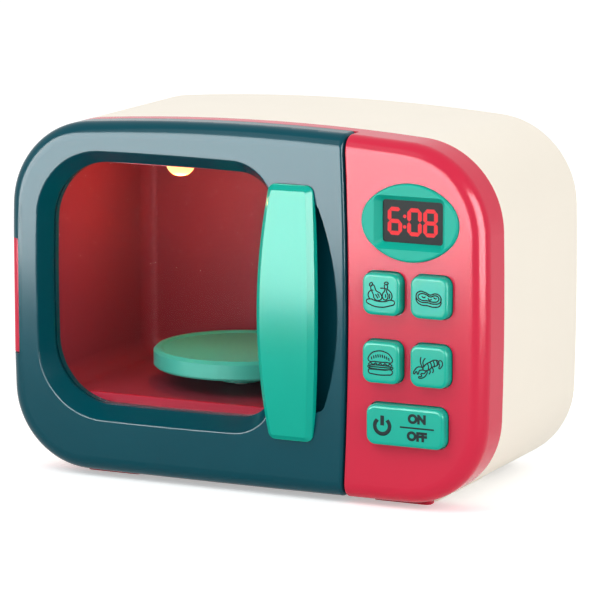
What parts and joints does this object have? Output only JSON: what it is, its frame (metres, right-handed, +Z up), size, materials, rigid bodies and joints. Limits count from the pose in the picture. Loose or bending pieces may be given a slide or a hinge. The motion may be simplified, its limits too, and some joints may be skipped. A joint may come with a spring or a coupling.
{
  "type": "toy microwave",
  "caption": "Toy microwave: rounded cabinet, side-hinged window door with bowed handle, display, push buttons, lit chamber and motor-driven turntable.",
  "frame": {"origin": "centre of the outline seen from above, on the surface that the foot rails rest on", "axes": "+Z up, +X to the right as the user faces the door, -Y out of the door"},
  "size_m": [0.25, 0.133, 0.1766],
  "materials": {
    "red_plastic": "smooth moulded, semi gloss",
    "cream_plastic": "smooth moulded, semi gloss",
    "teal_plastic": "smooth moulded, semi gloss",
    "mint_plastic": "smooth moulded, semi gloss",
    "clear_plastic": "clear polished sheet",
    "dark_plastic": "dark polished sheet",
    "lamp_plastic": "frosted diffuser",
    "gear_plastic": "plain moulded",
    "silicone": "soft translucent",
    "board_laminate": "lacquered laminate",
    "steel": "zinc plated",
    "cell_can": "plain sleeve"
  },
  "bodies": {
    "cabinet": {"front_frame": "red_plastic", "hinge_pin": "steel", "display_bezel": "mint_plastic", "display_window": "dark_plastic", "display_module": "dark_plastic", "keypad_mat": "silicone", "circuit_board": "board_laminate", "board_screws": "steel", "cavity_liner": "red_plastic", "idler_axle": "steel", "motor": "steel", "gearbox_tray": "gear_plastic", "gearbox_lid": "gear_plastic", "gearbox_screws": "steel", "lamp_lens": "lamp_plastic", "lamp_led": "lamp_plastic", "lamp_board": "board_laminate", "rear_shell": "cream_plastic", "speaker": "dark_plastic", "speaker_screws": "steel", "battery_cells": "cell_can", "contact_plates": "steel", "contact_springs": "steel", "battery_cover": "cream_plastic", "cover_screw": "steel", "housing_screws": "steel"},
    "door": {"door_shell": "teal_plastic", "door_back": "teal_plastic", "window_pane": "clear_plastic", "handle": "mint_plastic", "handle_screws": "steel", "door_screws": "steel"},
    "roast_button": {"roast_button": "mint_plastic"},
    "steak_button": {"steak_button": "mint_plastic"},
    "burger_button": {"burger_button": "mint_plastic"},
    "seafood_button": {"seafood_button": "mint_plastic"},
    "start_button": {"start_button": "mint_plastic"},
    "turntable": {"turntable": "mint_plastic", "output_gear": "gear_plastic"},
    "idler": {"idler_gear": "gear_plastic"},
    "motor_rotor": {"motor_pinion": "gear_plastic"}
  },
  "joints": [
    {"name": "door_hinge", "type": "hinge", "parent": "cabinet", "child": "door", "pos_m": [-0.1206, -0.0502, 0.0864], "axis": [0, 0, -1], "range_deg": [0, 112]},
    {"name": "turntable_spin", "type": "hinge", "parent": "cabinet", "child": "turntable", "pos_m": [-0.032, 0.0095, 0.05], "axis": [0, 0, 1], "continuous": true},
    {"name": "idler_spin", "type": "hinge", "parent": "cabinet", "child": "idler", "pos_m": [-0.012, 0.0095, 0.02], "axis": [0, 0, 1], "continuous": true},
    {"name": "motor_spin", "type": "hinge", "parent": "cabinet", "child": "motor_rotor", "pos_m": [0.0064, 0.0095, 0.02], "axis": [0, 0, 1], "continuous": true},
    {"name": "roast_press", "type": "slide", "parent": "cabinet", "child": "roast_button", "axis": [0, 1, 0], "range_m": [0, 0.002], "stiffness_N_per_m": 500, "springref_m": -0.0008, "deforming": ["keypad_mat"]},
    {"name": "steak_press", "type": "slide", "parent": "cabinet", "child": "steak_button", "axis": [0, 1, 0], "range_m": [0, 0.002], "stiffness_N_per_m": 500, "springref_m": -0.0008, "deforming": ["keypad_mat"]},
    {"name": "burger_press", "type": "slide", "parent": "cabinet", "child": "burger_button", "axis": [0, 1, 0], "range_m": [0, 0.002], "stiffness_N_per_m": 500, "springref_m": -0.0008, "deforming": ["keypad_mat"]},
    {"name": "seafood_press", "type": "slide", "parent": "cabinet", "child": "seafood_button", "axis": [0, 1, 0], "range_m": [0, 0.002], "stiffness_N_per_m": 500, "springref_m": -0.0008, "deforming": ["keypad_mat"]},
    {"name": "start_press", "type": "slide", "parent": "cabinet", "child": "start_button", "axis": [0, 1, 0], "range_m": [0, 0.002], "stiffness_N_per_m": 500, "springref_m": -0.0008, "deforming": ["keypad_mat"]}
  ],
  "couplings": [
    {"joint": "idler_spin", "follows": "turntable_spin", "ratio": -4},
    {"joint": "motor_spin", "follows": "turntable_spin", "ratio": 14.4}
  ]
}
